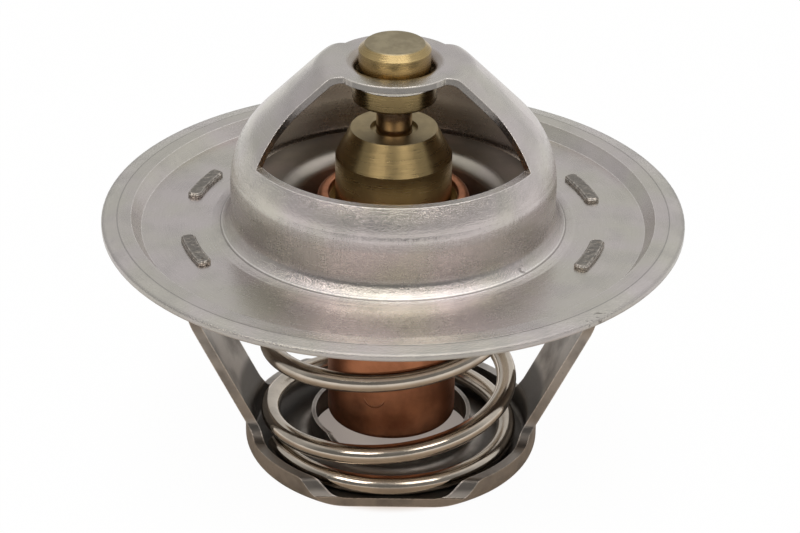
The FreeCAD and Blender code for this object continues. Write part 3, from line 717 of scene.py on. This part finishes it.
def make_coil(coil):
    """Spins a ring of wire round the axis in short steps, each with its own rise."""
    end_round = coil.wire * 0.07
    radius = (COIL_BOX[1].y - COIL_BOX[0].y - coil.wire) / 2
    count = math.ceil(coil.turns * coil.steps)
    bm = bmesh.new()
    along = bm.verts.layers.float.new("along")
    around = bm.verts.layers.float.new("around")
    turn_in = Matrix.Rotation(coil.start, 4, "Z")
    place = Matrix.Translation((radius, 0, coil_height(coil, 0)))
    upright = Matrix.Rotation(math.radians(90), 4, "X")
    shift = Matrix.Translation((coil.offset, 0, 0))
    ring = bmesh.ops.create_circle(bm, segments=coil.sides, radius=coil.wire / 2,
                                   matrix=shift @ turn_in @ place @ upright)["verts"]
    for index, vert in enumerate(ring):
        # Up one side of the wire and down the other, so that the streaks have no seam.
        fold = abs(index / coil.sides - 0.5)
        vert[around] = fold * math.pi * coil.wire / MM
    first = list({edge for vert in ring for edge in vert.link_edges})
    edges = first
    height = coil_height(coil, 0)
    axis_x = coil.offset
    step = 2 * math.pi * coil.turns / count
    drift = coil.lean / count
    for index in range(count):
        rise = coil_height(coil, coil.turns * (index + 1) / count) - height
        spun = bmesh.ops.spin(bm, geom=edges, cent=(axis_x, 0, 0), axis=(0, 0, 1),
                              dvec=(drift, 0, rise), angle=step, steps=1,
                              use_duplicate=False)["geom_last"]
        edges = [item for item in spun if isinstance(item, bmesh.types.BMEdge)]
        for vert in (item for item in spun if isinstance(item, bmesh.types.BMVert)):
            vert[along] = (index + 1) * step * radius / MM
        height += rise
        axis_x += drift
    caps = []
    for loop in (first, edges):
        caps += bmesh.ops.contextual_create(bm, geom=loop)["faces"]
    bmesh.ops.recalc_face_normals(bm, faces=bm.faces)
    for face in bm.faces:
        face.smooth = True
    rims = [edge for cap in caps for edge in cap.edges]
    bmesh.ops.bevel(bm, geom=rims, offset=end_round, offset_type="OFFSET",
                    affect="EDGES", segments=3, profile=0.5, material=-1)
    return finished_piece(bm, "return_spring")


def finished_piece(bm, name):
    """Puts a bmesh in the scene as an object of its own."""
    mesh = bpy.data.meshes.new(name)
    bm.to_mesh(mesh)
    bm.free()
    piece = bpy.data.objects.new(name, mesh)
    bpy.context.scene.collection.objects.link(piece)
    return piece


# Stage. The lamps and the floor's size are in metres, and radii on the floor in millimetres.

WARM_LIGHT = (1.0, 0.94, 0.88)

# Each lamp's name, place, width, depth, power in watts and tint.
LAMPS = (
    ("top softbox", (0.05, -0.10, 0.55), 0.46, 0.30, 0.64, (1, 1, 1)),
    ("left softbox", (-0.23, -0.32, 0.42), 0.24, 0.22, 0.75, WARM_LIGHT),
    ("right softbox", (0.205, -0.33, 0.42), 0.25, 0.22, 0.61, WARM_LIGHT),
)

FLOOR_REACH = 1.5
FLOOR_GAP = 0.02 * MM
UNDER_BASE = (11.0, 13.5)
CONTACT_SHADE = (12.0, 34.0)
MIRRORED_FLOOR = (18.0, 60.0)
MATT_FLOOR = (0.62, 0.53, 0.44, 1)
SHADED_GLOW = (0.98, 0.86, 0.78)
WHITE = (1, 1, 1, 1)
ROOM_LIGHT = 0.45
SENSOR_WIDTH = 36


def make_floor(stage):
    bm = bmesh.new()
    bmesh.ops.create_grid(bm, x_segments=1, y_segments=1, size=FLOOR_REACH,
                          matrix=Matrix.Translation((0, 0, CAD_BOX[0].z - FLOOR_GAP)))
    floor = finished_piece(bm, "floor")
    material, nodes, _, place = new_material("white floor")
    spot = nodes.split(place)
    radius = nodes.measure("LENGTH", nodes.join(spot["X"], spot["Y"]))
    path = nodes.add("ShaderNodeLightPath").outputs
    sight = nodes.highest(path["Is Camera Ray"], path["Is Transmission Ray"])
    open_floor = nodes.math("MINIMUM",
                            nodes.band(radius, *UNDER_BASE, result_low=0.26),
                            nodes.band(radius, *CONTACT_SHADE, 0.975, 0.995))
    near = nodes.times(sight, open_floor)
    wide = nodes.times(path["Is Glossy Ray"],
                       nodes.band(radius, *MIRRORED_FLOOR, result_high=0.86))
    matt = nodes.add("ShaderNodeBsdfDiffuse", {"Color": MATT_FLOOR}).outputs[0]
    tint = nodes.mix(nodes.band(radius, *UNDER_BASE), SHADED_GLOW, WHITE)
    glow = nodes.add("ShaderNodeEmission", {"Color": tint,
                                            "Strength": stage.backdrop}).outputs[0]
    both = nodes.add("ShaderNodeMixShader", {0: nodes.highest(near, wide), 1: matt, 2: glow})
    nodes.add("ShaderNodeOutputMaterial", {"Surface": both.outputs[0]})
    floor.data.materials.append(material)


def make_world(stage):
    """A soft room that the metals reflect: bright behind the part, dim behind the camera."""
    world = bpy.data.worlds.new("studio")
    bpy.context.scene.world = world
    world.use_nodes = True
    world.node_tree.nodes.clear()
    nodes = Tree(world.node_tree)
    heading = nodes.split(nodes.add("ShaderNodeTexCoord").outputs["Generated"])
    front_to_back = nodes.band(heading["Y"], -0.5, 0.15, result_low=0.22, result_high=0.66)
    left_to_right = nodes.band(heading["X"], -0.8, 0.8, result_low=0.80, result_high=1.10)
    ceiling = nodes.band(heading["Z"], 0.5, 0.8, result_high=0.25)
    wall = nodes.times(nodes.plus(nodes.times(front_to_back, left_to_right), ceiling),
                       stage.backdrop)
    path = nodes.add("ShaderNodeLightPath").outputs
    seen = nodes.highest(path["Is Camera Ray"], path["Is Glossy Ray"],
                         path["Is Transmission Ray"])
    room = nodes.add("ShaderNodeBackground", {"Color": WHITE, "Strength": ROOM_LIGHT})
    white = nodes.add("ShaderNodeBackground", {"Color": WHITE, "Strength": wall})
    both = nodes.add("ShaderNodeMixShader", {0: seen, 1: room.outputs[0],
                                             2: white.outputs[0]}).outputs[0]
    nodes.add("ShaderNodeOutputWorld", {"Surface": both})


def add_lamp(name, place, width, depth, power, tint):
    """A softbox that is aimed at the middle of the part."""
    centre = (CAD_BOX[0] + CAD_BOX[1]) / 2
    lamp = bpy.data.lights.new(name, "AREA")
    lamp.shape = "RECTANGLE"
    lamp.size, lamp.size_y = width, depth
    lamp.energy = power
    lamp.color = tint
    holder = bpy.data.objects.new(name, lamp)
    bpy.context.scene.collection.objects.link(holder)
    holder.location = place
    holder.rotation_euler = (centre - Vector(place)).to_track_quat("-Z", "Y").to_euler()


def make_camera(stage):
    lens = bpy.data.cameras.new("camera")
    lens.lens = stage.lens
    lens.sensor_width = SENSOR_WIDTH
    lens.clip_start, lens.clip_end = 0.01, 10
    camera = bpy.data.objects.new("camera", lens)
    bpy.context.scene.collection.objects.link(camera)
    rise = stage.elevation
    back = Vector((0, -math.cos(rise), math.sin(rise)))
    right = Vector((1, 0, 0))
    up = back.cross(right)
    across = right * math.cos(stage.roll) + up * math.sin(stage.roll)
    over = up * math.cos(stage.roll) - right * math.sin(stage.roll)
    turn = Matrix((across, over, back)).transposed().to_4x4()
    camera.matrix_world = Matrix.Translation(Vector(stage.target) + back * stage.distance) @ turn
    bpy.context.scene.camera = camera


# Operators, panel and registration.

class FinishSheet(bpy.types.Operator):
    """Gives the flange, the valve disc and the frame their pressed steel finishes"""

    bl_idname = "thermostat.finish_sheet"
    bl_label = "Finish Sheet Metal"

    def execute(self, context):
        finish = context.scene.thermostat_finish
        assign(flange_sheet("flange sheet", finish.sheet), "flange_bridge")
        assign(disc_sheet("disc sheet", finish.disc), "valve_disc")
        assign(frame_steel("frame steel", finish.frame, finish.tab), "lower_frame")
        return {"FINISHED"}


class FinishCapsule(bpy.types.Operator):
    """Gives the capsule, its guide, the piston and its cap their finishes"""

    bl_idname = "thermostat.finish_capsule"
    bl_label = "Finish Capsule and Piston"

    def execute(self, context):
        finish = context.scene.thermostat_finish
        assign(copper_film("capsule copper", finish.copper, finish.tarnish), "capsule_cup")
        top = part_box("guide_body")[1].z / MM - GUIDE_TOP_MARGIN
        assign(turned_metal("guide brass", finish.brass, rough=0.29, ring_size=7.0,
                            ring_depth=GUIDE_RELIEF, stain=0.3, film=finish.film,
                            film_level=top), "guide_body")
        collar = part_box("piston_cap")[0].z / MM + CAP_COLLAR
        assign(turned_metal("cap brass", toned(finish.brass, CAP_TONE), rough=0.26,
                            ring_size=6.0, ring_depth=CAP_RELIEF, stain=0.25,
                            film=finish.patina, film_level=CAP_TOP, shaded_level=collar),
               "piston_cap")
        assign(turned_metal("piston rod", finish.rod, rough=0.2, ring_size=9.0,
                            ring_depth=ROD_RELIEF, stain=0.4), "piston")
        assign(sealed_filling("sleeve rubber", finish.rubber, rough=0.7), "rubber_sleeve")
        assign(sealed_filling("capsule wax", finish.wax, rough=0.55), "wax_charge")
        return {"FINISHED"}


class AddCoil(bpy.types.Operator):
    """Adds the return spring, which rides with the housing in place of the packed spring"""

    bl_idname = "thermostat.add_coil"
    bl_label = "Add Return Spring"

    def execute(self, context):
        scene = context.scene
        piece = make_coil(scene.thermostat_coil)
        piece.data.materials.append(drawn_wire("spring wire", scene.thermostat_finish.wire))
        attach(piece, HOUSING)
        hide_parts("main_spring")
        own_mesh(piece)
        return {"FINISHED"}


class SetStage(bpy.types.Operator):
    """Sets up the floor, the room, the lamps and the camera"""

    bl_idname = "thermostat.set_stage"
    bl_label = "Set Stage"

    def execute(self, context):
        stage = context.scene.thermostat_stage
        context.scene.view_settings.view_transform = "Standard"
        make_floor(stage)
        make_world(stage)
        for lamp in LAMPS:
            add_lamp(*lamp)
        make_camera(stage)
        return {"FINISHED"}


class ThermostatPanel(bpy.types.Panel):
    """Lists the steps and their settings in the sidebar"""

    bl_idname = "VIEW3D_PT_thermostat"
    bl_label = "Thermostat"
    bl_space_type = "VIEW_3D"
    bl_region_type = "UI"
    bl_category = "Thermostat"

    def draw(self, context):
        scene = context.scene
        for operator, settings in ((FinishSheet, scene.thermostat_finish),
                                   (FinishCapsule, None),
                                   (AddCoil, scene.thermostat_coil),
                                   (SetStage, scene.thermostat_stage)):
            box = self.layout.box()
            box.operator(operator.bl_idname)
            for name in settings.__annotations__ if settings else ():
                box.prop(settings, name)


SETTINGS = {
    "thermostat_coil": CoilSettings,
    "thermostat_finish": FinishSettings,
    "thermostat_stage": StageSettings,
}
CLASSES = (*SETTINGS.values(), FinishSheet, FinishCapsule, AddCoil, SetStage, ThermostatPanel)


def register():
    for cls in CLASSES:
        bpy.utils.register_class(cls)
    for name, group in SETTINGS.items():
        setattr(bpy.types.Scene, name, PointerProperty(type=group))


def unregister():
    for name in SETTINGS:
        delattr(bpy.types.Scene, name)
    for cls in reversed(CLASSES):
        bpy.utils.unregister_class(cls)


def main():
    register()
    bpy.ops.thermostat.finish_sheet()
    bpy.ops.thermostat.finish_capsule()
    bpy.ops.thermostat.add_coil()
    bpy.ops.thermostat.set_stage()


if __name__ == "__main__":
    main()
